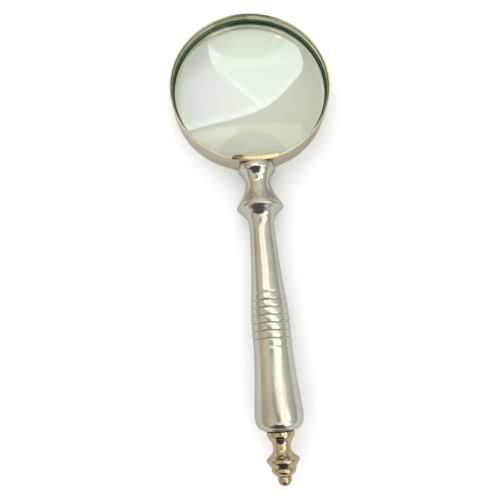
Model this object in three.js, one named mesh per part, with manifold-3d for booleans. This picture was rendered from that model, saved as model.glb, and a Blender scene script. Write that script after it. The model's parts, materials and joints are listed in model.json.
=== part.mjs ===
// A desk magnifying glass lying on its back: a biconvex lens in a thin brass rim, a turned
// aluminium ferrule and grip threaded over one tie rod, and a brass finial that screws on its end.
//
// Design axes, in millimetres: the rim's centre is at the origin, the lens's axis is Z with its
// front towards +Z, and the handle's axis is the line of -Y. "Distance" is measured from the
// rim's centre along the handle. The last section tips the whole glass onto its resting points.

import * as THREE from 'three';
import { mergeVertices } from 'three/addons/utils/BufferGeometryUtils.js';
import Module from 'manifold-3d';

const wasm = await Module();
wasm.setup();

// ---------------------------------------------------------------- driving dimensions

const GAP = 0.3; // clearance between fitted pieces
const FINE_GAP = 0.15; // clearance where a joint shows, and on the screw thread

const RIM_SEGMENTS = 72;
const HANDLE_SEGMENTS = 36;

const rim = {
  radius: 45,
  wall: 1.1,
  height: 16.5,
  edgeRound: 0.25,
  lipWidth: 1.2, // inward lip at the back edge, which holds the lens stack in
  lipThickness: 1.0,
};
rim.boreRadius = rim.radius - rim.wall;
rim.front = rim.height / 2;
rim.back = -rim.height / 2;

const lens = {
  radius: 43.5,
  edgeFront: 1.8,
  edgeBack: -1.8,
  surfaceRadius: 250,
};

const wire = { radius: 0.36, grooveDepth: 0.35, gapAngle: 8 };
wire.centreHeight = lens.edgeFront + GAP + wire.radius;
wire.centreRadius = rim.boreRadius + wire.grooveDepth - FINE_GAP - wire.radius;

const seat = { thickness: 0.7, gapStart: 115, gapEnd: 148 }; // angles from +X, anticlockwise

const saddle = {
  thickness: 0.5,
  halfWidth: 13.4,
  tabThickness: 0.8,
  tabEdge: 41.8, // distance to the tab's straight inner edge
  tabHalfEdge: 12.7, // half the length of that straight edge
  tabEnd: 42.5, // distance to the tab's tips
};
saddle.innerRadius = rim.radius + FINE_GAP;
saddle.outerRadius = saddle.innerRadius + saddle.thickness;

const rod = {
  radius: 2.5, // M5
  headRadius: 3.9,
  headDepth: 0.9,
  start: 43.95,
  end: 198.2,
  holeRadius: 2.5 + GAP,
};

const nut = { acrossFlats: 8, thickness: 4 };
const lockWasher = { radius: 5, thickness: 0.8, start: saddle.outerRadius + GAP };
nut.start = lockWasher.start + lockWasher.thickness + GAP;

const ferrule = {
  start: saddle.outerRadius + FINE_GAP,
  end: 69.8,
  capRadius: 10.4,
  capEnd: 48.7,
  capEdge: 0.5,
  counterboreRadius: 5.3,
  counterboreEnd: nut.start + nut.thickness + 2 * GAP,
  spigotRadius: 5.2,
  spigotEnd: 74,
};

const grip = {
  start: 70.05,
  end: 186.8,
  crestRadius: 12.75,
  bulgeRadius: 12.5,
  bulgeAt: 180,
  endRadius: 8.6,
  firstGroove: 117,
  groovePitch: 4,
  grooveCount: 8,
  grooveWidth: 1.1,
  grooveDepth: 0.45,
  endGrooveDepth: 0.2, // the first and the last groove are faint
  shell: 3, // thickness of the cored casting's wall
  coreStart: 86,
  coreEnd: 184,
};

const endWasher = { start: grip.end + FINE_GAP, thickness: 0.45, radius: 6.2 };

const finial = {
  start: endWasher.start + endWasher.thickness + FINE_GAP,
  boreRadius: rod.radius + 0.1,
  boreEnd: rod.end + 1.2,
  ballRadius: 3.4,
  ballCentre: 210.7,
};

// ---------------------------------------------------------------- materials

const brass = (colour, roughness) =>
  new THREE.MeshStandardMaterial({ color: colour, roughness, metalness: 1 });

const champagneBrass = () => brass(0xc9b98f, 0.28);
const polishedBrass = () => brass(0xc9a765, 0.2);
const polishedAluminium = () =>
  new THREE.MeshStandardMaterial({ color: 0xcfcdc2, roughness: 0.18, metalness: 1 });
const zincSteel = () =>
  new THREE.MeshStandardMaterial({ color: 0xb4b6b8, roughness: 0.4, metalness: 1 });
const vulcanisedFibre = () =>
  new THREE.MeshStandardMaterial({ color: 0x1d1a18, roughness: 0.8, metalness: 0 });
const crownGlass = () =>
  new THREE.MeshStandardMaterial({
    color: 0xd6ead9,
    roughness: 0.03,
    metalness: 0,
    transparent: true,
    opacity: 0.35,
  });

// ---------------------------------------------------------------- helpers

const degrees = THREE.MathUtils.degToRad;

function piece(name, geometry, material) {
  const mesh = new THREE.Mesh(geometry, material);
  mesh.name = name;
  return mesh;
}

// A solid turned about the handle's axis from an outline of [distance, radius] points. The
// outline runs away from the rim on the outside and comes back along the bore.
function turned(outline) {
  const points = outline.map(([distance, radius]) => new THREE.Vector2(radius, -distance));
  return new THREE.LatheGeometry(points.reverse(), HANDLE_SEGMENTS);
}

// The same with a hole right through: the outline closes on itself.
function turnedRing(outline) {
  return turned([...outline, outline[0]]);
}

// A solid turned about the lens's axis from [radius, height] points that run up the outside.
function turnedAboutLens(outline) {
  const points = outline.map(([radius, height]) => new THREE.Vector2(radius, height));
  return new THREE.LatheGeometry(points, RIM_SEGMENTS).rotateX(Math.PI / 2);
}

// A smooth outline through a few [distance, radius] points.
function smooth(points, steps) {
  const curve = new THREE.SplineCurve(points.map(([x, y]) => new THREE.Vector2(x, y)));
  return curve.getPoints(steps).map((point) => [point.x, point.y]);
}

// The radius of a smooth outline at one distance.
function radiusAt(outline, distance) {
  const next = outline.findIndex(([x]) => x >= distance);
  const [x0, r0] = outline[next - 1];
  const [x1, r1] = outline[next];
  return r0 + ((r1 - r0) * (distance - x0)) / (x1 - x0);
}

// A flat outline in the XY plane raised between two heights on Z.
function raised(shape, low, high, curveSegments = 12) {
  const settings = { depth: high - low, bevelEnabled: false, curveSegments };
  return new THREE.ExtrudeGeometry(shape, settings).translate(0, 0, low);
}

function toSolid(geometry) {
  const bare = geometry.clone();
  bare.deleteAttribute('normal');
  bare.deleteAttribute('uv');
  const merged = mergeVertices(bare, 1e-4);
  const vertProperties = new Float32Array(merged.attributes.position.array);
  const triVerts = new Uint32Array(merged.index.array);
  return new wasm.Manifold(new wasm.Mesh({ numProp: 3, vertProperties, triVerts }));
}

function toGeometry(solid) {
  const mesh = solid.getMesh();
  const geometry = new THREE.BufferGeometry();
  geometry.setAttribute('position', new THREE.BufferAttribute(mesh.vertProperties, 3));
  geometry.setIndex(new THREE.BufferAttribute(mesh.triVerts, 1));
  geometry.computeVertexNormals();
  return geometry;
}

// A cutter along the handle's axis: a cylinder or a cone between two distances.
function rodCutter(start, startRadius, end, endRadius) {
  const cone = new THREE.CylinderGeometry(startRadius, endRadius, end - start, HANDLE_SEGMENTS);
  return toSolid(cone.translate(0, -(start + end) / 2, 0));
}

// ---------------------------------------------------------------- lens and its rim

function rimBand() {
  const { radius, boreRadius, front, back, edgeRound, lipWidth, lipThickness } = rim;
  const lipRadius = boreRadius - lipWidth;
  const grooveLow = wire.centreHeight - wire.radius - FINE_GAP;
  const grooveHigh = wire.centreHeight + wire.radius + FINE_GAP;
  const band = turnedAboutLens([
    [lipRadius, back],
    [radius - edgeRound, back],
    [radius, back + edgeRound],
    [radius, front - edgeRound],
    [radius - edgeRound, front],
    [boreRadius + edgeRound, front],
    [boreRadius, front - edgeRound],
    [boreRadius, grooveHigh],
    [boreRadius + wire.grooveDepth, grooveHigh],
    [boreRadius + wire.grooveDepth, grooveLow],
    [boreRadius, grooveLow],
    [boreRadius, back + lipThickness],
    [lipRadius, back + lipThickness],
    [lipRadius, back],
  ]);
  const hole = rodCutter(boreRadius - 2, rod.holeRadius, radius + 2, rod.holeRadius);
  const headEnd = rod.start + rod.headDepth + GAP;
  const spread = rod.headRadius + 2 * GAP - rod.holeRadius;
  const slope = spread / (headEnd - boreRadius);
  const countersinkStart = boreRadius - 1;
  const countersinkRadius = rod.holeRadius + slope * (headEnd - countersinkStart);
  const countersink = rodCutter(countersinkStart, countersinkRadius, headEnd, rod.holeRadius);
  return toGeometry(toSolid(band).subtract(hole).subtract(countersink));
}

function lensSurface(edgeHeight, side, steps) {
  const { radius, surfaceRadius } = lens;
  const edgeDrop = Math.sqrt(surfaceRadius ** 2 - radius ** 2);
  return Array.from({ length: steps + 1 }, (_, i) => {
    const r = (radius * i) / steps;
    return [r, edgeHeight + side * (Math.sqrt(surfaceRadius ** 2 - r ** 2) - edgeDrop)];
  });
}

function biconvexLens() {
  const steps = 5;
  const backSurface = lensSurface(lens.edgeBack, -1, steps);
  const frontSurface = lensSurface(lens.edgeFront, 1, steps).reverse();
  return turnedAboutLens([...backSurface, ...frontSurface]);
}

// The strip behind the lens is open over a short arc, so that it springs against the rim.
function seatStrip() {
  const outer = rim.boreRadius - GAP;
  const start = degrees(seat.gapEnd);
  const end = degrees(seat.gapStart + 360);
  const shape = new THREE.Shape();
  shape.absarc(0, 0, outer, start, end, false);
  shape.absarc(0, 0, outer - seat.thickness, end, start, true);
  return raised(shape, rim.back + rim.lipThickness + GAP, lens.edgeBack - GAP, 72);
}

class WireArc extends THREE.Curve {
  getPoint(t, target = new THREE.Vector3()) {
    const halfGap = degrees(wire.gapAngle / 2);
    const angle = -Math.PI / 2 + halfGap + t * 2 * (Math.PI - halfGap);
    const { centreRadius, centreHeight } = wire;
    return target.set(centreRadius * Math.cos(angle), centreRadius * Math.sin(angle), centreHeight);
  }
}

// A round spring wire in front of the lens, snapped into the rim's groove. It opens at the handle.
function retainingWire() {
  const section = new THREE.Shape();
  section.absarc(0, 0, wire.radius, 0, 2 * Math.PI, false);
  const settings = { steps: 72, curveSegments: 4, bevelEnabled: false, extrudePath: new WireArc() };
  return new THREE.ExtrudeGeometry(section, settings);
}

// ---------------------------------------------------------------- saddle and its fastening

// A sheet strap around the outside of the rim, with a tab folded over the rim's front edge.
function rimSaddle() {
  const { innerRadius, outerRadius, halfWidth, tabThickness } = saddle;
  const half = Math.asin(halfWidth / outerRadius);
  const down = -Math.PI / 2;
  const tabLow = rim.front + FINE_GAP;

  const strap = new THREE.Shape();
  strap.absarc(0, 0, outerRadius, down - half, down + half, false);
  strap.absarc(0, 0, innerRadius, down + half, down - half, true);

  const tab = new THREE.Shape();
  tab.absarc(0, 0, outerRadius, down - half, down + half, false);
  tab.lineTo(halfWidth, -saddle.tabEnd);
  tab.lineTo(saddle.tabHalfEdge, -saddle.tabEdge);
  tab.lineTo(-saddle.tabHalfEdge, -saddle.tabEdge);
  tab.lineTo(-halfWidth, -saddle.tabEnd);

  const wall = toSolid(raised(strap, rim.back + rim.edgeRound, tabLow + tabThickness / 2));
  const fold = toSolid(raised(tab, tabLow, tabLow + tabThickness));
  const hole = rodCutter(innerRadius - 2, rod.holeRadius, outerRadius + 2, rod.holeRadius);
  return toGeometry(wall.add(fold).subtract(hole));
}

function tieRod() {
  const { radius, headRadius, headDepth, start, end } = rod;
  const chamfer = 0.5;
  return turned([
    [start, 0],
    [start, headRadius],
    [start + headDepth, radius],
    [end - chamfer, radius],
    [end, radius - chamfer],
    [end, 0],
  ]);
}

function plainWasher({ start, thickness, radius }, holeRadius) {
  const end = start + thickness;
  return turnedRing([
    [start, radius],
    [end, radius],
    [end, holeRadius],
    [start, holeRadius],
  ]);
}

function rimNut() {
  const corner = nut.acrossFlats / Math.sqrt(3);
  const outline = Array.from({ length: 6 }, (_, i) => {
    const angle = (i * Math.PI) / 3;
    return new THREE.Vector2(corner * Math.cos(angle), corner * Math.sin(angle));
  });
  const shape = new THREE.Shape(outline);
  const bore = new THREE.Path();
  bore.absarc(0, 0, rod.radius + FINE_GAP, 0, 2 * Math.PI, true);
  shape.holes.push(bore);
  return raised(shape, 0, nut.thickness).rotateX(Math.PI / 2).translate(0, -nut.start, 0);
}

// ---------------------------------------------------------------- handle

function ferruleBody() {
  const { start, end, capRadius, capEdge, capEnd, counterboreRadius, counterboreEnd } = ferrule;
  const neckAndCollar = smooth(
    [
      [capEnd, capRadius],
      [50.6, 8.75],
      [52.6, 7.4],
      [55.2, 6.7],
      [58.2, 7.2],
      [61.7, 8.4],
      [65.3, 10.4],
      [67.9, 12.2],
      [end, grip.crestRadius],
    ],
    15,
  );
  return turnedRing([
    [start, capRadius - capEdge],
    [start + capEdge, capRadius],
    ...neckAndCollar,
    [end, ferrule.spigotRadius],
    [ferrule.spigotEnd, ferrule.spigotRadius],
    [ferrule.spigotEnd, rod.holeRadius],
    [counterboreEnd, rod.holeRadius],
    [counterboreEnd, counterboreRadius],
    [start, counterboreRadius],
  ]);
}

// The plain outline of the grip, before its grooves: a waist, a swelling and an end bulge.
function gripOutline() {
  const points = [
    [grip.start, grip.crestRadius],
    [72.1, 11.0],
    [75.6, 7.9],
    [81.4, 6.8],
    [98.3, 7.6],
    [109.4, 8.25],
    [117, 9.05],
    [126, 9.9],
    [137, 10.2],
    [148, 10.2],
    [157.2, 10.6],
    [168, 11.55],
    [grip.bulgeAt - 4, 12.3],
    [grip.bulgeAt, grip.bulgeRadius],
    [183.2, 12.1],
    [185.4, 10.7],
    [grip.end, grip.endRadius],
  ];
  return smooth(points, 160);
}

// The grooved stretch: each groove is a shallow V and each band between is slightly rounded.
function groovedStretch(outline) {
  const { firstGroove, groovePitch, grooveCount, grooveWidth } = grip;
  const points = [];
  for (let i = 0; i < grooveCount; i += 1) {
    const centre = firstGroove + i * groovePitch;
    const isEnd = i === 0 || i === grooveCount - 1;
    const depth = isEnd ? grip.endGrooveDepth : grip.grooveDepth;
    points.push([centre - grooveWidth / 2, radiusAt(outline, centre - grooveWidth / 2)]);
    points.push([centre, radiusAt(outline, centre) - depth]);
    points.push([centre + grooveWidth / 2, radiusAt(outline, centre + grooveWidth / 2)]);
  }
  return points;
}

// The casting's hollow, one wall thickness inside the outline and closed down to the rod's hole.
function gripCore(outline) {
  const { shell, coreStart, coreEnd } = grip;
  const taper = 2;
  const steps = 8;
  const stretch = coreEnd - coreStart - 2 * taper;
  const points = Array.from({ length: steps + 1 }, (_, i) => {
    const distance = coreEnd - taper - (stretch * i) / steps;
    return [distance, radiusAt(outline, distance) - shell];
  });
  return [[coreEnd, rod.holeRadius], ...points, [coreStart, rod.holeRadius]];
}

function gripBody() {
  const outline = gripOutline();
  const { start, end, firstGroove, groovePitch, grooveCount } = grip;
  const lastGroove = firstGroove + (grooveCount - 1) * groovePitch;
  const every = (list, step) => list.filter((_, i) => i % step === 0);
  const before = every(outline, 5).filter(([x]) => x < firstGroove - 2);
  const after = every(outline, 5).filter(([x]) => x > lastGroove + 2);
  const socketRadius = ferrule.spigotRadius + GAP;
  const socketEnd = ferrule.spigotEnd + GAP;
  return turnedRing([
    ...before,
    ...groovedStretch(outline),
    ...after,
    [end, rod.holeRadius],
    ...gripCore(outline),
    [socketEnd, rod.holeRadius],
    [socketEnd, socketRadius],
    [start, socketRadius],
  ]);
}

// ---------------------------------------------------------------- finial

// From the rim's side: a flange, a hollow neck, a sharp-edged crest, a bead and a ball.
function finialBody() {
  const { start, boreRadius, boreEnd, ballRadius, ballCentre } = finial;
  const flangeAndNeck = smooth(
    [
      [start + 0.4, 7.35],
      [189.5, 7.15],
      [191.3, 5.9],
      [193.3, 4.8],
      [196, 4.5],
      [197.8, 5.0],
      [199.5, 7.0],
    ],
    12,
  );
  const crest = [
    [200.7, 8.3],
    [201.3, 8.45],
    [202.4, 7.9],
    [203.9, 6.9],
    [204.9, 6.25],
  ];
  const bead = [
    [205.6, 6.0],
    [206.4, 6.05],
    [207.4, 5.6],
    [208.6, 4.6],
    [209.5, 3.6],
  ];
  const ballSteps = 6;
  const firstAngle = degrees(-15);
  const ball = Array.from({ length: ballSteps }, (_, i) => {
    const angle = firstAngle + ((Math.PI / 2 - firstAngle) * i) / ballSteps;
    return [ballCentre + ballRadius * Math.sin(angle), ballRadius * Math.cos(angle)];
  });
  return turned([
    [boreEnd + boreRadius / 2, 0],
    [boreEnd, boreRadius],
    [start, boreRadius],
    [start, 7.0],
    ...flangeAndNeck,
    ...crest,
    ...bead,
    ...ball,
    [ballCentre + ballRadius, 0],
  ]);
}

// ---------------------------------------------------------------- assembly

const glass = new THREE.Group();
glass.add(
  piece('rim_band', rimBand(), champagneBrass()),
  piece('lens', biconvexLens(), crownGlass()),
  piece('lens_seat_strip', seatStrip(), champagneBrass()),
  piece('lens_retaining_wire', retainingWire(), champagneBrass()),
  piece('rim_saddle', rimSaddle(), champagneBrass()),
  piece('tie_rod', tieRod(), zincSteel()),
  piece('rim_lock_washer', plainWasher(lockWasher, rod.radius + GAP), zincSteel()),
  piece('rim_nut', rimNut(), zincSteel()),
  piece('ferrule', ferruleBody(), polishedAluminium()),
  piece('grip', gripBody(), polishedAluminium()),
  piece('finial_washer', plainWasher(endWasher, rod.radius + FINE_GAP), vulcanisedFibre()),
  piece('finial', finialBody(), polishedBrass()),
);

// Lying down, the glass rests on the far side of the rim's back edge and on the ferrule's collar.
const drop = grip.crestRadius - rim.front;
const reach = ferrule.end + rim.radius - rim.edgeRound;
glass.rotation.x = -Math.atan2(drop, reach);

const assembly = new THREE.Group();
assembly.add(glass);
assembly.updateMatrixWorld(true);
const bounds = new THREE.Box3().setFromObject(assembly, true);
const centre = bounds.getCenter(new THREE.Vector3());
assembly.position.set(-centre.x, -centre.y, -bounds.min.z);

export default assembly;
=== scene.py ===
"""A desk magnifying glass lying on a white table: fine meshes, materials, light and camera.

Outlines are in millimetres from the rim's centre. "Distance" runs from there along the handle,
and "height" along the lens's axis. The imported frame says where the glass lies.
"""
import json
import math

import bmesh
import bpy
from mathutils import Matrix, Vector, noise


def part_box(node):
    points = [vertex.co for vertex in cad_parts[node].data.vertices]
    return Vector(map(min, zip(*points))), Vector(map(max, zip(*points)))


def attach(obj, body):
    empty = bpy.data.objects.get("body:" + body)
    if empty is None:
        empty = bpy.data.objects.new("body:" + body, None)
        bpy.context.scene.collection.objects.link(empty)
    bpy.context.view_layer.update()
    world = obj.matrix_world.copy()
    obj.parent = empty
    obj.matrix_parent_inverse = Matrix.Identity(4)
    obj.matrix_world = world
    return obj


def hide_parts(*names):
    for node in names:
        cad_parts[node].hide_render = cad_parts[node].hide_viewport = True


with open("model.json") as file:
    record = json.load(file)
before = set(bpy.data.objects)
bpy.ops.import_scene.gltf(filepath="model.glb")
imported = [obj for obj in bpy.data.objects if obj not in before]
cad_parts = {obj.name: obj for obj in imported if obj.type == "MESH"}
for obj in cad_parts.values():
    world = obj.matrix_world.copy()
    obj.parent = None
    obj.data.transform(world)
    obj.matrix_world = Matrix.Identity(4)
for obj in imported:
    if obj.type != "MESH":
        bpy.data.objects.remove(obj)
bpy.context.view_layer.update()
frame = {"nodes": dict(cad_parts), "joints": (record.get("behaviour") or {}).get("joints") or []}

MM = 0.001

# ---------------------------------------------------------------- where the glass lies

PIVOT_DISTANCE = 187.5  # the finial's hinge is declared this far from the rim's centre


def resting_place():
    """The matrix from the design axes (handle along -Y, lens along Z) to the row frame."""
    hinge = next(j for j in frame["joints"] if j["name"] == "finial_unscrew")
    outward = Vector(hinge["axis"]).normalized()
    centre = Vector(hinge["pos_m"]) - outward * PIVOT_DISTANCE * MM
    across = Vector((1, 0, 0))
    turn = Matrix((across, -outward, across.cross(-outward))).transposed().to_4x4()
    return Matrix.Translation(centre) @ turn


PLACE = resting_place()
HALF = "glass_and_handle"
RIM_RADIUS = (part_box("rim_band")[1].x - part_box("rim_band")[0].x) / 2 / MM

# ---------------------------------------------------------------- mesh helpers

SHARP = 35  # degrees; a steeper crease than this isn't smoothed over
CUTTER_SIDES = 48
NOTHING = 1e-6


def added(name, data):
    """A new object in the scene."""
    thing = bpy.data.objects.new(name, data)
    bpy.context.scene.collection.objects.link(thing)
    return thing


def placed(name, mesh):
    """An object from a bmesh in design millimetres, where the glass lies."""
    bmesh.ops.recalc_face_normals(mesh, faces=mesh.faces)
    bmesh.ops.scale(mesh, vec=(MM, MM, MM), verts=mesh.verts)
    data = bpy.data.meshes.new(name)
    mesh.to_mesh(data)
    mesh.free()
    thing = added(name, data)
    thing.matrix_world = PLACE
    return thing


def finished(node, mesh, material, body=HALF, sharp=SHARP, suffix="fine"):
    """A piece from a bmesh in design millimetres that stands for a CAD node, on its body."""
    piece = placed(f"{node}_{suffix}", mesh)
    piece.data.shade_smooth()
    piece.data.set_sharp_from_angle(angle=math.radians(sharp))
    piece.data.materials.append(material)
    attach(piece, body)
    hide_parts(node)
    return piece


def about_handle(distance, radius, angle):
    return Vector((radius * math.sin(angle), -distance, radius * math.cos(angle)))


def about_lens(height, radius, angle):
    return Vector((radius * math.cos(angle), radius * math.sin(angle), height))


def ring(mesh, place, position, radius, angles):
    """One ring of vertices, or the same vertex at every angle where the radius is nothing."""
    if radius < NOTHING:
        return [mesh.verts.new(place(position, 0, 0))] * len(angles)
    return [mesh.verts.new(place(position, radius, a)) for a in angles]


def join_rings(mesh, rings, spans):
    """Faces between each two neighbouring rings, on the given number of spans round them."""
    for low, high in zip(rings, rings[1:]):
        for i in range(spans):
            j = (i + 1) % len(low)
            corners = list(dict.fromkeys((low[i], low[j], high[j], high[i])))
            if len(corners) > 2:
                mesh.faces.new(corners)


def revolved(outline, place, sides, closed=False, start=0.0, sweep=2 * math.pi):
    """A bmesh turned from (position, radius) points. A closed outline makes a ring."""
    mesh = bmesh.new()
    full = abs(sweep - 2 * math.pi) < NOTHING
    angles = [start + sweep * i / sides for i in range(sides if full else sides + 1)]
    rings = [ring(mesh, place, position, radius, angles) for position, radius in outline]
    join_rings(mesh, rings + rings[:1] if closed else rings, sides)
    if not full:
        mesh.faces.new([each[0] for each in rings])
        mesh.faces.new([each[-1] for each in reversed(rings)])
    return mesh


def cut(piece, *outlines):
    """Takes solids turned about the handle's axis away from a piece."""
    for outline in outlines:
        tool = placed("cutter", revolved(outline, about_handle, CUTTER_SIDES))
        change = piece.modifiers.new("cut", "BOOLEAN")
        change.operation = "DIFFERENCE"
        change.object = tool
        change.solver = "EXACT"
        bpy.context.view_layer.update()
        seen = bpy.context.evaluated_depsgraph_get()
        made = bpy.data.meshes.new_from_object(piece.evaluated_get(seen), depsgraph=seen)
        piece.modifiers.clear()
        piece.data = made
        bpy.data.objects.remove(tool)
    piece.data.set_sharp_from_angle(angle=math.radians(SHARP))


def rounded(outline, steps=3, closed=False):
    """Eases each corner given as (position, radius, size); plain points stay as they are."""
    most = 0.45  # of the way to the next corner
    made = []
    count = len(outline)
    for i, point in enumerate(outline):
        here = Vector(point[:2])
        ease = point[2] if len(point) > 2 else 0
        if not ease or (not closed and i in (0, count - 1)):
            made.append(tuple(here))
            continue
        before = Vector(outline[i - 1][:2])
        after = Vector(outline[(i + 1) % count][:2])
        first = here + (before - here).normalized() * min(ease, (before - here).length * most)
        last = here + (after - here).normalized() * min(ease, (after - here).length * most)
        for k in range(steps + 1):
            t = k / steps
            made.append(tuple(first * (1 - t) ** 2 + here * 2 * t * (1 - t) + last * t**2))
    return made


def smooth(knots, steps):
    """Points on a curve through the knots, the same number of steps between each two."""
    ends = [knots[0], *knots, knots[-1]]
    made = []
    for i in range(1, len(ends) - 2):
        a, b, c, d = (Vector(p) for p in ends[i - 1 : i + 3])
        for k in range(steps):
            t = k / steps
            point = 0.5 * (
                2 * b + (c - a) * t + (2 * a - 5 * b + 4 * c - d) * t**2
                + (3 * b - a - 3 * c + d) * t**3
            )
            made.append(tuple(point))
    made.append(tuple(knots[-1]))
    return made


def radius_at(outline, distance):
    """The radius of a smooth outline at one distance."""
    for (x0, r0), (x1, r1) in zip(outline, outline[1:]):
        if x0 <= distance <= x1:
            return r0 + (r1 - r0) * (distance - x0) / max(x1 - x0, 1e-9)
    return outline[-1][1]


# ---------------------------------------------------------------- node helpers


class Nodes:
    """A small wrapper for writing node trees: each call adds a node and links its inputs."""

    def __init__(self, tree, coordinates):
        self.tree = tree
        self.where = tree.nodes.new("ShaderNodeTexCoord").outputs[coordinates]

    def add(self, kind, settings=None, **inputs):
        node = self.tree.nodes.new(kind)
        for key, value in (settings or {}).items():
            setattr(node, key, value)
        for key, value in inputs.items():
            self.put(node, key.replace("_", " "), value)
        return node

    def put(self, node, socket, value):
        """Links an output to an input, or sets the input to a value."""
        if isinstance(value, bpy.types.NodeSocket):
            self.tree.links.new(value, node.inputs[socket])
        else:
            node.inputs[socket].default_value = value

    def noise(self, scale, detail=4.0, vector=None, roughness=0.55):
        node = self.add("ShaderNodeTexNoise", Scale=scale, Detail=detail, Roughness=roughness)
        self.put(node, "Vector", vector or self.where)
        return node.outputs["Fac"]

    def band(self, value, low, high, out_low=0.0, out_high=1.0):
        """A smooth step between two results as the value goes from low to high."""
        node = self.add("ShaderNodeMapRange", {"interpolation_type": "SMOOTHSTEP"}, Value=value)
        settings = (low, high, out_low, out_high)
        for socket, item in zip(("From Min", "From Max", "To Min", "To Max"), settings):
            self.put(node, socket, item)
        return node.outputs["Result"]

    def math(self, operation, *values):
        node = self.add("ShaderNodeMath", {"operation": operation})
        for socket, value in enumerate(values):
            self.put(node, socket, value)
        return node.outputs[0]

    def mix(self, factor, a, b, blend="MIX"):
        """Two colours mixed, each an output or three numbers."""
        settings = {"data_type": "RGBA", "blend_type": blend}
        node = self.add("ShaderNodeMix", settings, Factor=factor)
        for socket, value in ((6, a), (7, b)):
            plain = not isinstance(value, bpy.types.NodeSocket)
            self.put(node, socket, (*value, 1.0) if plain else value)
        return node.outputs[2]


class Surface(Nodes):
    """A new material, worked out in the object's own coordinates."""

    def __init__(self, name):
        self.material = bpy.data.materials.new(name)
        self.material.use_nodes = True
        super().__init__(self.material.node_tree, "Object")
        self.shader = self.tree.nodes["Principled BSDF"]

    def stretched(self, scale):
        """The coordinates with another scale on each axis."""
        return self.add("ShaderNodeMapping", Vector=self.where, Scale=scale).outputs["Vector"]

    def bump(self, height, distance, strength=1.0, below=None):
        node = self.add("ShaderNodeBump", Strength=strength, Distance=distance, Height=height)
        if below:
            self.put(node, "Normal", below)
        return node.outputs["Normal"]

    def set(self, **inputs):
        for key, value in inputs.items():
            self.put(self.shader, key.replace("_", " "), value)


# ---------------------------------------------------------------- materials

GRAZING_TINT = (0.78, 0.77, 0.74, 1)  # the metals' mirror colour at a grazing angle


def turned_metal(name, colour, tint, roughness, marks_along, pits=0.0, metallic=1.0):
    """Polished metal with turning marks, wipe smears, hairlines and a few casting pits.

    marks_along is "handle" or "lens", the axis that the marks run round."""
    s = Surface(name)
    fine = (60, 2600, 60) if marks_along == "handle" else (60, 60, 2600)
    hair = (900, 40, 900) if marks_along == "handle" else (40, 40, 900)
    smears = s.noise(95, 5)
    cloud = s.noise(38, 3)
    rings = s.noise(1.0, 2, s.stretched(fine))
    hairs = s.noise(1.0, 3, s.stretched(hair))
    s.set(
        Base_Color=s.mix(s.band(cloud, 0.35, 0.7), colour, tint),
        Metallic=metallic,
        Specular_Tint=GRAZING_TINT,
        Roughness=s.math(
            "ADD",
            s.band(smears, 0.35, 0.75, roughness * 0.75, roughness * 1.35),
            s.band(hairs, 0.55, 0.8, 0.0, 0.05),
        ),
    )
    normal = s.bump(rings, 0.000012)
    normal = s.bump(hairs, 0.00001, below=normal)
    normal = s.bump(cloud, 0.00012, 0.5, below=normal)
    if pits:
        holes = s.add("ShaderNodeTexVoronoi", Vector=s.where, Scale=420.0, Randomness=1.0)
        rare = s.band(s.noise(60, 2), 0.60, 0.66)
        pit = s.math("MULTIPLY", s.band(holes.outputs["Distance"], 0.0, 0.14, 1.0, 0.0), rare)
        normal = s.bump(s.math("MULTIPLY", pit, -1.0), 0.00008 * pits, below=normal)
    s.set(Normal=normal)
    return s.material


def rolled_brass():
    """Pale rolled brass with turning marks. The inner wall is painted paler, a painted brightening
    for the light it mirrors, with a green stain where it meets the glass and a painted dark
    reflection on the far side."""
    s = Surface("champagne_brass_rolled")
    split = s.add("ShaderNodeSeparateXYZ", Vector=s.where)
    cloud = s.noise(38, 3)
    smears = s.noise(120, 5)
    rings = s.noise(1.0, 2, s.stretched((60, 60, 2600)))
    hairs = s.noise(1.0, 3, s.stretched((260, 260, 30)))
    colour = s.mix(s.band(cloud, 0.35, 0.7), (0.66, 0.61, 0.50), (0.58, 0.53, 0.42))
    from_axis = s.math(
        "SQRT",
        s.math(
            "ADD",
            s.math("MULTIPLY", split.outputs["X"], split.outputs["X"]),
            s.math("MULTIPLY", split.outputs["Y"], split.outputs["Y"]),
        ),
    )
    inner = s.band(from_axis, (RIM_RADIUS - 0.9) * MM, (RIM_RADIUS - 0.5) * MM, 1.0, 0.0)

    # a ragged stain just above the glass, and a painted reflection: a dark green patch on the wall
    # opposite the handle
    reach = s.math("ADD", split.outputs["Z"], s.math("MULTIPLY", cloud, -0.0012))
    low = s.math(
        "MULTIPLY",
        s.band(reach, 0.0006, 0.0014, 0.75, 0.0),
        s.band(split.outputs["Z"], -0.0030, -0.0022),
    )
    painted_reflection_arc = s.math(
        "MULTIPLY",
        s.band(split.outputs["X"], -0.0190, -0.0165),
        s.band(split.outputs["X"], 0.0010, 0.0040, 1.0, 0.0),
    )
    painted_reflection = s.math("MULTIPLY", painted_reflection_arc, s.band(split.outputs["Y"], 0.0, 0.01, 0.0, 0.4))
    # the real stain and the painted dark reflection together darken the inner wall green
    darkening = s.math("MULTIPLY", inner, s.math("MAXIMUM", low, painted_reflection))

    # painted brightening: the inner wall gets a paler colour to stand in for the light it mirrors
    colour = s.mix(inner, colour, (0.88, 0.87, 0.67))
    s.set(
        Base_Color=s.mix(darkening, colour, (0.13, 0.20, 0.13)),
        Metallic=1.0,
        Specular_Tint=GRAZING_TINT,
        Roughness=s.band(smears, 0.35, 0.75, 0.15, 0.27),
    )
    normal = s.bump(rings, 0.000012)
    normal = s.bump(hairs, 0.000012, below=normal)
    s.set(Normal=s.bump(cloud, 0.00012, 0.5, below=normal))
    return s.material


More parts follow.
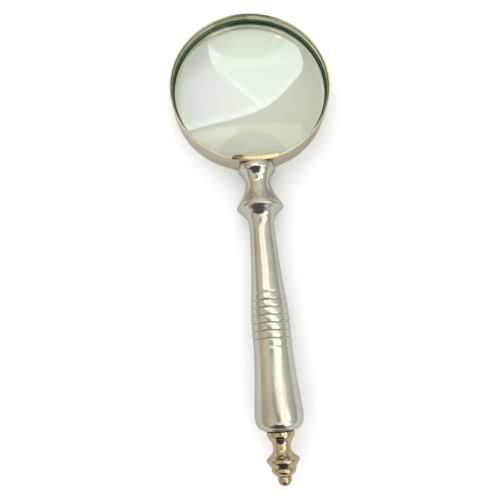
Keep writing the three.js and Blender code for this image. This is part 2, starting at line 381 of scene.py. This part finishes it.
def saddle_brass():
    """The rim's pale brass, rubbed bright on the tab, with a painted brown reflection at the tab's
    left end.
    """
    s = Surface("saddle_brass_rubbed")
    split = s.add("ShaderNodeSeparateXYZ", Vector=s.where)
    smears = s.noise(260, 4)
    rubbed = s.band(split.outputs["Z"], 0.0074, 0.0080)
    ragged = s.math("ADD", split.outputs["X"], s.math("MULTIPLY", smears, 0.004))
    # painted reflection: the tab's left end is painted brown where it mirrors something dark
    darkening = s.math(
        "MULTIPLY",
        s.band(ragged, -0.007, -0.0025, 1.0, 0.0),
        s.band(split.outputs["Y"], -0.0440, -0.0434),
    )
    strap = s.mix(smears, (0.64, 0.59, 0.49), (0.56, 0.50, 0.40))
    bright = s.mix(smears, (0.66, 0.57, 0.40), (0.54, 0.43, 0.26))
    painted_brown_reflection = s.mix(smears, (0.15, 0.10, 0.055), (0.26, 0.18, 0.10))
    colour = s.mix(rubbed, strap, s.mix(s.math("MULTIPLY", darkening, rubbed), bright, painted_brown_reflection))
    s.set(Base_Color=colour, Metallic=1.0, Roughness=s.band(smears, 0.3, 0.7, 0.12, 0.26))
    fine = s.noise(1.0, 2, s.stretched((200, 2400, 2400)))
    s.set(Normal=s.bump(smears, 0.0003, 0.6, below=s.bump(fine, 0.00001)))
    return s.material


def lens_glass(name, coat):
    """Pale green crown glass with a few specks of dust. A coat makes it more reflective, and
    shadow rays pass straight through."""
    s = Surface(name)
    dust = s.add("ShaderNodeTexVoronoi", Vector=s.where, Scale=150.0, Randomness=1.0)
    rare = s.band(s.noise(75, 1), 0.66, 0.68)
    speck = s.math("MULTIPLY", s.band(dust.outputs["Distance"], 0.02, 0.05, 1.0, 0.0), rare)
    s.set(Base_Color=s.mix(speck, (0.925, 0.94, 0.875), (0.35, 0.36, 0.33)))
    s.set(Transmission_Weight=1.0, IOR=1.52, Roughness=0.0)
    s.set(Coat_Weight=coat, Coat_IOR=1.8, Coat_Roughness=0.0)
    clear = s.add("ShaderNodeBsdfTransparent", Color=(0.97, 0.98, 0.97, 1))
    shadow = s.add("ShaderNodeLightPath").outputs["Is Shadow Ray"]
    either = s.add("ShaderNodeMixShader", Fac=shadow)
    s.put(either, 1, s.shader.outputs[0])
    s.put(either, 2, clear.outputs[0])
    s.put(s.tree.nodes["Material Output"], "Surface", either.outputs[0])
    return s.material


def ground_edge():
    """The lens's ground rim: green from the long way that light comes through the glass."""
    s = Surface("lens_ground_edge")
    grit = s.noise(2400, 3)
    s.set(
        Base_Color=s.mix(s.band(grit, 0.3, 0.7), (0.02, 0.095, 0.065), (0.045, 0.17, 0.12)),
        Roughness=s.band(grit, 0.3, 0.7, 0.45, 0.7),
        Normal=s.bump(grit, 0.00003),
    )
    return s.material


def black_fibre():
    """Pressed black fibre with a fine grain."""
    s = Surface("black_fibre_pressed")
    grain = s.noise(1800, 4)
    s.set(
        Base_Color=s.mix(grain, (0.012, 0.010, 0.009), (0.035, 0.030, 0.026)),
        Roughness=s.band(grain, 0.3, 0.7, 0.65, 0.9),
        Normal=s.bump(grain, 0.00004),
    )
    return s.material


FERRULE_METAL = turned_metal(
    "polished_aluminium_ferrule", (0.57, 0.56, 0.525), (0.51, 0.50, 0.465), 0.14, "handle", pits=0.6
)
GRIP_METAL = turned_metal(
    "polished_aluminium_grip", (0.57, 0.56, 0.525), (0.50, 0.49, 0.455), 0.21, "handle", pits=1.0
)
CHAMPAGNE = rolled_brass()
BRIGHT_BRASS = turned_metal(
    "polished_brass_turned", (0.50, 0.41, 0.285), (0.41, 0.33, 0.22), 0.07, "handle"
)
GOLD_EDGE = turned_metal(
    "bare_brass_edge", (0.62, 0.52, 0.37), (0.54, 0.44, 0.30), 0.16, "lens"
)
SADDLE = saddle_brass()
TARNISHED = turned_metal(
    "tarnished_brass", (0.12, 0.22, 0.165), (0.08, 0.15, 0.115), 0.35, "lens"
)
BRIGHT_STRIP = turned_metal(
    "bright_brass_strip", (0.93, 0.93, 0.88), (0.87, 0.87, 0.81), 0.3, "lens", metallic=0.3
)
STEEL = turned_metal("plain_steel", (0.52, 0.53, 0.54), (0.46, 0.47, 0.48), 0.3, "handle")
GLASS = lens_glass("lens_glass_front", 1.0)
GLASS_BACK = lens_glass("lens_glass_back", 0.0)
EDGE = ground_edge()
FIBRE = black_fibre()

# ---------------------------------------------------------------- rim and lens

RIM_SIDES = 256
HANDLE_SIDES = 144

BAND_HALF = 8.25  # half the band's height
BAND_WALL = 1.1
BORE = RIM_RADIUS - BAND_WALL
LIP_WIDTH = 1.2
LIP_THICKNESS = 1.0
GROOVE = (1.6, 2.35)  # the wire's groove, between these heights
GROOVE_DEPTH = 0.35

LENS_RADIUS = 43.5
LENS_FRONT = 1.8  # height of the front face at its edge
LENS_BACK = -1.8
LENS_CURVE = 250.0  # radius of both faces

ROD_HOLE = 2.8
ROD_RADIUS = 2.5


def rod_hole(near, far):
    """The outline of a cutter for the tie rod, between two distances."""
    return [(near, 0), (near, ROD_HOLE), (far, ROD_HOLE), (far, 0)]


def rim_band():
    """The thin band: an inward lip at the back, a groove for the wire and a bare front edge."""
    outline = rounded(
        [
            (-BAND_HALF, BORE - LIP_WIDTH, 0.3),
            (-BAND_HALF, RIM_RADIUS, 0.35),
            (BAND_HALF, RIM_RADIUS, 0.25),
            (BAND_HALF, RIM_RADIUS - 0.55, 0.08),
            (BAND_HALF - 1.0, BORE, 0.3),
            (GROOVE[1], BORE, 0.05),
            (GROOVE[1], BORE + GROOVE_DEPTH, 0.05),
            (GROOVE[0], BORE + GROOVE_DEPTH, 0.05),
            (GROOVE[0], BORE, 0.05),
            (LIP_THICKNESS - BAND_HALF, BORE, 0.1),
            (LIP_THICKNESS - BAND_HALF, BORE - LIP_WIDTH, 0.3),
        ],
        closed=True,
    )
    mesh = revolved(outline, about_lens, RIM_SIDES, closed=True)
    piece = finished("rim_band", mesh, CHAMPAGNE)
    piece.data.materials.append(GOLD_EDGE)
    for face in piece.data.polygons:
        if face.center.z > (BAND_HALF - 0.1) * MM:
            face.material_index = 1
    countersink = [(42.9, 0), (42.9, 5.3), (45.15, ROD_HOLE), (45.15, 0)]
    cut(piece, rod_hole(42, 47), countersink)


def lens_height(radius, edge, side):
    """The height of a lens face at a radius; side is 1 for the front and -1 for the back."""
    drop = math.sqrt(LENS_CURVE**2 - LENS_RADIUS**2)
    return edge + side * (math.sqrt(LENS_CURVE**2 - radius**2) - drop)


def lens():
    """The biconvex lens: a coated front, a plain back and a ground edge with a narrow bevel."""
    steps = 40
    bevel = 0.6
    face_radius = LENS_RADIUS - bevel
    radii = [face_radius * i / steps for i in range(steps + 1)]
    back = [(lens_height(r, LENS_BACK, -1), r) for r in radii]
    front = [(lens_height(r, LENS_FRONT, 1), r) for r in reversed(radii)]
    edge = [(LENS_BACK + bevel, LENS_RADIUS), (LENS_FRONT - bevel, LENS_RADIUS)]
    mesh = revolved(back + edge + front, about_lens, RIM_SIDES)
    piece = finished("lens", mesh, GLASS, sharp=25)
    piece.data.materials.append(EDGE)
    piece.data.materials.append(GLASS_BACK)
    for face in piece.data.polygons:
        if Vector(face.center[:2]).length > face_radius * MM:
            face.material_index = 1
        elif face.center.z < 0:
            face.material_index = 2


def seat_strip():
    """A split strip behind the lens; it shows its end through the glass."""
    gap = (115, 148)  # degrees, from +X
    clearance = 0.3
    low = -BAND_HALF + LIP_THICKNESS + clearance
    high = LENS_BACK - clearance
    outer = BORE - clearance
    inner = BORE - 1.0
    outline = rounded(
        [(low, inner, 0.15), (low, outer, 0.15), (high, outer, 0.15), (high, inner, 0.15)],
        closed=True,
    )
    start = math.radians(gap[1])
    sweep = math.radians(360 - gap[1] + gap[0])
    mesh = revolved(outline, about_lens, 220, True, start, sweep)
    finished("lens_seat_strip", mesh, BRIGHT_STRIP)


def retaining_wire():
    """A round spring wire in the rim's groove, with its ends apart at the handle."""
    wire = 0.3
    centre_radius = BORE + GROOVE_DEPTH - 0.1 - wire
    centre_height = (GROOVE[0] + GROOVE[1]) / 2
    sides = 14
    outline = [
        (
            centre_height + wire * math.sin(2 * math.pi * i / sides),
            centre_radius + wire * math.cos(2 * math.pi * i / sides),
        )
        for i in range(sides)
    ]
    mesh = revolved(outline, about_lens, 240, True, math.radians(-86), math.radians(352))
    finished("lens_retaining_wire", mesh, TARNISHED)


# ---------------------------------------------------------------- saddle and its fastening


def rim_saddle():
    """A strap round the outside of the rim, bent over its front edge into a flat tab."""
    inner = RIM_RADIUS + 0.04
    outer = RIM_RADIUS + 0.48
    half_width = 13.4
    half = math.asin(half_width / outer)
    tab_low = BAND_HALF + 0.08
    tab_high = BAND_HALF + 0.95
    tab_edge = 41.2  # its inner edge, which curves away at the ends
    mesh = bmesh.new()
    columns = 64

    def section(t):
        """One cross-section as (height, depth from the bend) points, t from -1 to 1."""
        angle = -math.pi / 2 + half * t
        x = outer * math.sin(half * t)
        edge = tab_edge + 0.9 * max(0, (abs(x) - 12.3) / 1.1) ** 2
        reach = outer - edge / math.cos(half * t)
        points = [
            (-BAND_HALF + 0.25, 0.18, 0.1),
            (BAND_HALF - 0.7, 0.18, 0.3),
            (BAND_HALF - 0.2, 0.0, 0.3),
            (tab_high - 0.1, 0.0, 0.5),
            (tab_high + 0.16, reach * 0.45, 0.5),
            (tab_high - 0.12, reach, 0.25),
            (tab_low, reach, 0.12),
            (tab_low, outer - inner, 0.1),
            (-BAND_HALF + 0.25, outer - inner, 0.1),
        ]
        return angle, rounded(points, 4, closed=True)

    rings = []
    for i in range(columns + 1):
        angle, points = section(-1 + 2 * i / columns)
        rings.append([mesh.verts.new(about_lens(h, outer - d, angle)) for h, d in points])
    join_rings(mesh, rings, len(rings[0]))
    mesh.faces.new(rings[0])
    mesh.faces.new(list(reversed(rings[-1])))
    ends = [e for e in mesh.edges if len(e.link_faces) == 2
            and any(len(f.verts) > 4 for f in e.link_faces)]
    bmesh.ops.bevel(mesh, geom=ends, offset=0.12, segments=2, affect="EDGES")
    cut(finished("rim_saddle", mesh, SADDLE), rod_hole(44, 47))


def tie_rod():
    """The rod: a flush countersunk head in the rim and an M5 thread that the finial takes."""
    pitch = 0.8
    depth = 0.43
    run_in = 1.2  # the thread deepens over this length
    chamfer = 0.5
    sides = 32
    start, end = 181.0, 198.2
    head = [(43.95, 0.0), (43.95, 3.6), (44.1, 3.9), (44.85, ROD_RADIUS)]
    shank = [(60.0, ROD_RADIUS), (120.0, ROD_RADIUS), (180.0, ROD_RADIUS)]
    mesh = bmesh.new()
    angles = [2 * math.pi * i / sides for i in range(sides)]
    rings = [ring(mesh, about_handle, *point, angles) for point in head + shank]
    steps = int((end - start) / pitch * 10)
    for k in range(steps + 1):
        distance = start + (end - start) * k / steps
        fade = min(1, (distance - start) / run_in)
        taper = min(chamfer, max(0.0, distance - end + 0.6))
        thread = []
        for i, angle in enumerate(angles):
            phase = (distance / pitch - i / sides) % 1
            root = abs(2 * phase - 1)
            cutting = min(1, max(0, root * 1.35 - 0.2)) * depth * fade
            radius = ROD_RADIUS - max(cutting, taper)
            thread.append(mesh.verts.new(about_handle(distance, radius, angle)))
        rings.append(thread)
    rings.append(ring(mesh, about_handle, end, 0, angles))
    join_rings(mesh, rings, sides)
    finished("tie_rod", mesh, STEEL, sharp=50, suffix="threaded")


# ---------------------------------------------------------------- handle

CAP_FACE = 45.5
POCKET_END, POCKET_RADIUS = 51.8, 5.3  # the nut sits in here
SEAM = 70.0  # where the grip meets the ferrule
SPIGOT_END, SPIGOT_RADIUS = 74.0, 5.2
SOCKET_END, SOCKET_RADIUS = 74.3, 5.5
GRIP_END = 186.85


def ferrule():
    """The spool: a cap at the rim, a waist, and a collar with a spigot into the grip."""
    neck = smooth(
        [
            (49.1, 10.1), (50.6, 8.75), (52.6, 7.4), (55.2, 6.7), (58.2, 7.2),
            (61.7, 8.4), (65.3, 10.4), (67.9, 12.15), (69.2, 12.7),
        ],
        8,
    )
    outline = rounded(
        [
            (CAP_FACE, POCKET_RADIUS),
            (CAP_FACE, 10.25, 0.35),
            (48.7, 10.4, 0.3),
            *neck,
            (SEAM - 0.1, 12.8, 0.2),
            (SEAM - 0.05, 12.4),
            (SEAM - 0.05, SPIGOT_RADIUS),
            (SPIGOT_END, SPIGOT_RADIUS, 0.3),
            (SPIGOT_END, ROD_HOLE),
            (POCKET_END, ROD_HOLE),
            (POCKET_END, POCKET_RADIUS),
        ],
        closed=True,
    )
    mesh = revolved(outline, about_handle, HANDLE_SIDES, closed=True)
    finished("ferrule", mesh, FERRULE_METAL)


GRIP_KNOTS = [
    (70.5, 12.6), (72.1, 11.0), (75.6, 7.9), (81.4, 6.8), (98.3, 7.6), (109.4, 8.25),
    (117, 9.05), (126, 9.9), (137, 10.2), (148, 10.2), (157.2, 10.6), (168, 11.55),
    (176, 12.3), (180, 12.5), (183.2, 12.1), (185.4, 10.7), (186.6, 9.0),
]


def grip():
    """The long grip, with eight shallow grooves whose bands are slightly rounded."""
    plain = smooth(GRIP_KNOTS, 14)
    first, pitch, count = 117.0, 4.0, 8
    last = first + pitch * (count - 1)
    margin = 2.1  # plain outline starts this far from the outer grooves
    end_depth, depth, width = 0.16, 0.36, 0.27
    shoulder_depth, shoulder_width = 0.055, 1.0
    before = [p for p in plain if p[0] < first - margin]
    after = [p for p in plain if p[0] > last + margin]
    grooved = []
    steps = 24
    for i in range(count):
        line_depth = end_depth if i in (0, count - 1) else depth
        for k in range(steps):
            offset = (k / steps - 0.5) * pitch
            distance = first + i * pitch + offset
            line = line_depth * math.exp(-((offset / width) ** 2))
            shoulder = shoulder_depth * math.exp(-((offset / shoulder_width) ** 2))
            grooved.append((distance, radius_at(plain, distance) - line - shoulder))
    outline = [
        (SEAM, SOCKET_RADIUS),
        (SEAM, 12.4),
        (SEAM + 0.03, 12.8),
        *before,
        *grooved,
        *after,
        (GRIP_END, 8.4),
        (GRIP_END, ROD_HOLE),
        (SOCKET_END, ROD_HOLE),
        (SOCKET_END, SOCKET_RADIUS),
    ]
    mesh = revolved(outline, about_handle, HANDLE_SIDES, closed=True)
    wobble, wave = 0.03, 0.05  # the slight unevenness of a hand-polished casting
    for vert in mesh.verts:
        vert.co.x += wobble * noise.noise(vert.co * wave)
        vert.co.z += wobble * noise.noise(vert.co * wave + Vector((7, 3, 1)))
    finished("grip", mesh, GRIP_METAL)


def finial_washer():
    """The dark washer between the grip and the finial."""
    near, far = 186.9, PIVOT_DISTANCE
    bore, rim = 2.65, 6.4
    outline = rounded([(near, bore), (near, rim, 0.15), (far, rim, 0.15), (far, bore)], closed=True)
    mesh = revolved(outline, about_handle, 96, closed=True)
    finished("finial_washer", mesh, FIBRE, "finial_washer_body")


def finial():
    """The end piece: a flange, a waist, a crest, a bead and a ball, with a blind hole."""
    hole_end, hole_radius = 199.4, 2.6
    flange = rounded(
        [(187.55, hole_radius, 0.2), (187.55, 7.15, 0.3), (189.3, 7.05, 0.3), (189.9, 6.75)]
    )
    neck = smooth(
        [(190.5, 6.45), (191.6, 5.7), (193.3, 4.8), (195.4, 4.5), (197.2, 4.8),
         (198.7, 5.9), (199.8, 7.25), (200.5, 8.05)],
        6,
    )
    crest = smooth(
        [(200.95, 8.4), (201.6, 8.4), (202.4, 8.0), (203.7, 7.05), (204.8, 6.3)], 4
    )
    bead = smooth(
        [(205.0, 6.0), (205.6, 6.25), (206.5, 6.15), (207.4, 5.6), (208.3, 4.7), (208.9, 3.9)], 4
    )
    ball_centre, ball_radius, ball_steps = 210.4, 3.55, 12
    lowest = -18  # degrees, where the ball leaves the bead
    ball = []
    for k in range(ball_steps):
        angle = math.radians(lowest + (90 - lowest) * k / ball_steps)
        ball.append(
            (ball_centre + ball_radius * math.sin(angle), ball_radius * math.cos(angle))
        )
    ball.append((ball_centre + ball_radius, 0.0))
    outline = [(200.8, 0.0), (hole_end, hole_radius), *flange, *neck, *crest, *bead, *ball]
    mesh = revolved(outline, about_handle, HANDLE_SIDES)
    finished("finial", mesh, BRIGHT_BRASS, "finial_body")


rim_band()
lens()
seat_strip()
retaining_wire()
rim_saddle()
tie_rod()
ferrule()
grip()
finial_washer()
finial()
for node in ("rim_nut", "rim_lock_washer"):
    cad = frame["nodes"][node]
    cad.data.materials.clear()
    cad.data.materials.append(STEEL)

# ---------------------------------------------------------------- floor, camera and light

FLOOR_SIZE = 3.0  # metres from the middle to an edge


def table_top():
    """A plain white table, a little darker where the metal mirrors it."""
    mesh = bmesh.new()
    bmesh.ops.create_grid(mesh, x_segments=2, y_segments=2, size=FLOOR_SIZE)
    data = bpy.data.meshes.new("table_top")
    mesh.to_mesh(data)
    mesh.free()
    floor = added("table_top", data)
    s = Surface("white_table")
    rays = s.add("ShaderNodeLightPath").outputs
    rough = s.math("SUBTRACT", rays["Is Glossy Ray"], rays["Is Singular Ray"])
    colour = s.mix(rough, (0.82, 0.82, 0.815), (0.67, 0.66, 0.63))
    s.set(Base_Color=colour, Roughness=0.9, Specular_IOR_Level=0.0)
    data.materials.append(s.material)


CAMERA_AT = Vector((-12.8, -56.5, 307.8)) * MM  # in the row frame, above the table
CAMERA_RIGHT = Vector((0.9965, -0.0837, 0.0040))
CAMERA_AHEAD = Vector((0.0175, 0.1615, -0.9867))
FOCAL_LENGTH = 39.6
SENSOR_WIDTH = 36


def camera():
    """The camera, above the handle and tilted a little towards the lens."""
    data = bpy.data.cameras.new("camera")
    data.lens = FOCAL_LENGTH
    data.sensor_width = SENSOR_WIDTH
    data.clip_start = 0.01
    view = added("camera", data)
    ahead = CAMERA_AHEAD.normalized()
    right = (CAMERA_RIGHT - ahead * CAMERA_RIGHT.dot(ahead)).normalized()
    up = right.cross(ahead)
    turn = Matrix((right, up, -ahead)).transposed().to_4x4()
    view.matrix_world = Matrix.Translation(CAMERA_AT) @ turn
    bpy.context.scene.camera = view


class Sky(Nodes):
    """The studio round the table, as brightness by direction."""

    def __init__(self):
        world = bpy.data.worlds.new("studio")
        world.use_nodes = True
        bpy.context.scene.world = world
        super().__init__(world.node_tree, "Generated")
        x, y, z = self.add("ShaderNodeSeparateXYZ", Vector=self.where).outputs
        self.side = self.angle(x, z)  # 0 straight up, 90 towards +X
        self.fore = self.angle(y, z)  # 0 straight up, 90 towards +Y
        self.heading = self.angle(x, self.math("MULTIPLY", y, -1.0))  # 0 towards -Y
        self.height = self.degrees(self.math("ARCSINE", z))  # 0 level, 90 straight up

    def degrees(self, value):
        return self.math("MULTIPLY", value, 180 / math.pi)

    def angle(self, a, b):
        """The angle of direction (a, b) in degrees, from b towards a."""
        return self.degrees(self.math("ARCTAN2", a, b))

    def sum(self, values, weights, offset=0.0):
        """The weighted sum of some values, plus an offset."""
        total = offset
        for value, weight in zip(values, weights):
            total = self.math("ADD", self.math("MULTIPLY", value, weight), total)
        return total

    def edge(self, values, weights, limit, soft):
        """1 where the weighted sum of the values is above the limit, with a soft edge."""
        return self.band(self.sum(values, weights), limit - soft / 2, limit + soft / 2)

    def both(self, a, b):
        """1 where both masks are."""
        return self.math("MULTIPLY", a, b)

    def smaller(self, a, b, blend):
        """The smaller of two values, with a soft corner where they cross."""
        return self.math("SMOOTH_MIN", a, b, blend)

    def patch(self, first, first_range, second, second_range, soft):
        """1 inside a rectangle of two angles, with soft edges."""
        mask = None
        for value, (low, high) in ((first, first_range), (second, second_range)):
            for side, limit in ((1, low), (-1, -high)):
                inside = self.edge([value], [side], limit, soft)
                mask = self.both(mask, inside) if mask else inside
        return mask

    def disc(self, centre, radii, soft):
        """1 inside an ellipse of the side and fore angles; soft is a part of its radius."""
        squares = []
        for value, middle, radius in zip((self.side, self.fore), centre, radii):
            offset = self.math("DIVIDE", self.math("SUBTRACT", value, middle), radius)
            squares.append(self.math("MULTIPLY", offset, offset))
        return self.edge(squares, (-1, -1), -1, soft)

    def paint(self, under, mask, colour):
        """The colour where the mask is 1, and what is under it elsewhere."""
        return self.mix(mask, under, colour)

    def mottled(self, colour, scale, low, high):
        """The colour in soft uneven patches, as a furnished room gives."""
        level = self.band(self.noise(scale, 3.0, roughness=0.5), 0.32, 0.68, low, high)
        grey = self.add("ShaderNodeCombineXYZ", X=level, Y=level, Z=level)
        return self.mix(1.0, colour, grey.outputs[0], "MULTIPLY")


def soft_light(sky):
    """What matt surfaces see: an even room with a broad light to the upper left."""
    overhead = sky.patch(sky.side, (-50, 12), sky.fore, (-5, 60), 24)
    return sky.paint((1.2, 1.2, 1.2), overhead, (2.3, 2.3, 2.3))


def metal_light(sky):
    """What the metal mirrors: cream reflectors on both sides and a bright panel overhead."""
    side, fore, heading, height = sky.side, sky.fore, sky.heading, sky.height
    drift = sky.sum([sky.band(fore, 0.0, 26.0)], [-40.0], 26.0)
    drift = sky.math("MULTIPLY", drift, sky.band(fore, -56.0, -16.0))
    slant = sky.math("SUBTRACT", side, drift)  # the overhead panel runs askew of the handle
    leftward = sky.math("MULTIPLY", side, -1.0)
    light = (0.54, 0.53, 0.43)  # level with the table on the right
    ramps = (
        (-88.0, -30.0, (1.0, 0.99, 0.85)),  # up from the right
        (5.0, 25.0, (0.95, 0.86, 0.64)),  # over to the left
        (35.0, 88.0, (0.58, 0.49, 0.34)),  # down on the left
    )
    for start, end, colour in ramps:
        light = sky.paint(light, sky.band(leftward, start, end), colour)
    patches = (
        (slant, (-42, -18), fore, (-18, 15), 5, (0.44, 0.42, 0.38)),  # shade beside the panel
        (slant, (-20, 21), fore, (-58, 32), 6, (1.7, 1.6, 1.36)),  # the panel
        (slant, (9, 22), fore, (-50, 30), 4, (2.6, 2.57, 2.45)),  # its bright right edge
        (slant, (-20, -11), fore, (-18, 30), 4, (2.3, 2.28, 2.2)),  # its bright left edge
        (heading, (-33, 20), height, (2, 47), 8, (0.06, 0.07, 0.1)),  # a dark doorway
        (heading, (20, 48), height, (16, 50), 6, (2.3, 2.3, 2.2)),  # a light beside it
    )
    for *where, colour in patches:
        light = sky.paint(light, sky.patch(*where), colour)
    return sky.mottled(light, 2.6, 0.85, 1.12)


def window_light(sky, light):
    """A rounded window with a curtain, bright along its edges, painted over a light."""
    side, fore = sky.side, sky.fore
    sill = sky.sum([fore, side], [1, -0.09], -19.2)
    slope = sky.sum([fore, side], [0.70, -0.71], -8.9)
    inside = sky.smaller(sill, slope, 12.0)
    inside = sky.smaller(inside, sky.sum([side], [-1], 25.8), 5.0)
    fade = sky.band(side, -27.0, -20.0)
    window = sky.both(sky.band(inside, -0.4, 0.6), fade)
    light = sky.paint(light, window, (2.35, 2.85, 3.0))
    room = sky.both(sky.band(inside, 0.4, 4.0), fade)
    light = sky.paint(light, room, (1.75, 1.95, 2.15))
    upper_left = sky.edge([side, fore], [-0.5, 1], 48, 12)
    light = sky.paint(light, sky.both(window, upper_left), (1.1, 1.25, 1.35))
    fold = sky.sum([side, fore], [0.72, 0.69], -19.4)
    curtain = sky.smaller(fold, sky.sum([side, fore], [0.98, 0.2], 3.9), 4.0)
    petal = sky.both(window, sky.band(curtain, -0.4, 0.5))
    light = sky.paint(light, petal, (2.5, 3.2, 3.1))
    pane = sky.both(petal, sky.band(sky.smaller(curtain, inside, 2.0), 0.3, 2.6))
    light = sky.paint(light, pane, (1.85, 2.35, 2.3))
    high = sky.both(petal, sky.edge([fore, side], [1, -0.06], 37.5, 2.5))
    light = sky.paint(light, high, (2.3, 2.8, 2.7))
    shine = sky.both(petal, sky.disc((-11.0, 45.0), (3.2, 5.5), 1.6))
    return sky.paint(light, shine, (3.0, 3.5, 3.5))


def glass_light(sky):
    """What the lens mirrors: a dim room, a ceiling, a window, a pale oval and two lamps."""
    side, fore = sky.side, sky.fore
    ceiling = sky.patch(side, (-18, 20), fore, (-30, 16.5), 1.4)
    light = sky.paint((0.3, 0.3, 0.25), ceiling, (0.85, 0.95, 0.75))
    crescent = sky.patch(side, (-20, -3), fore, (12, 16.2), 2.4)
    light = sky.paint(light, crescent, (1.5, 1.6, 1.4))
    overhead_shade = sky.disc((1.0, -1.0), (15.0, 15.0), 0.12)
    light = sky.paint(light, overhead_shade, (0.25, 0.25, 0.2))
    light = window_light(sky, light)
    light = sky.paint(light, sky.disc((4.0, 55.0), (19.0, 14.0), 0.2), (1.75, 2.1, 1.85))
    lamps = (((18.7, 52.4), (1.1, 0.8), 14.0), ((18.9, 50.4), (1.7, 0.7), 4.5))
    for centre, radii, strength in lamps:
        colour = (strength, strength, 0.97 * strength)
        light = sky.paint(light, sky.disc(centre, radii, 0.4), colour)
    return light


LENS_BACK_LIGHT = (0.95, 1.0, 0.9)  # what the lens's back face mirrors
BACKDROP = (0.96, 0.96, 0.955)


def studio():
    """Soft light from the upper left. Matt surfaces, metal and glass each see their own sky."""
    sky = Sky()
    rays = sky.add("ShaderNodeLightPath").outputs
    light = sky.mix(rays["Is Glossy Ray"], soft_light(sky), metal_light(sky))
    light = sky.mix(rays["Is Singular Ray"], light, glass_light(sky))
    light = sky.mix(rays["Is Transmission Ray"], light, LENS_BACK_LIGHT)
    light = sky.mix(rays["Is Camera Ray"], light, BACKDROP)
    sky.put(sky.tree.nodes["Background"], "Color", light)


table_top()
camera()
studio()
bpy.context.scene.view_settings.view_transform = "Standard"
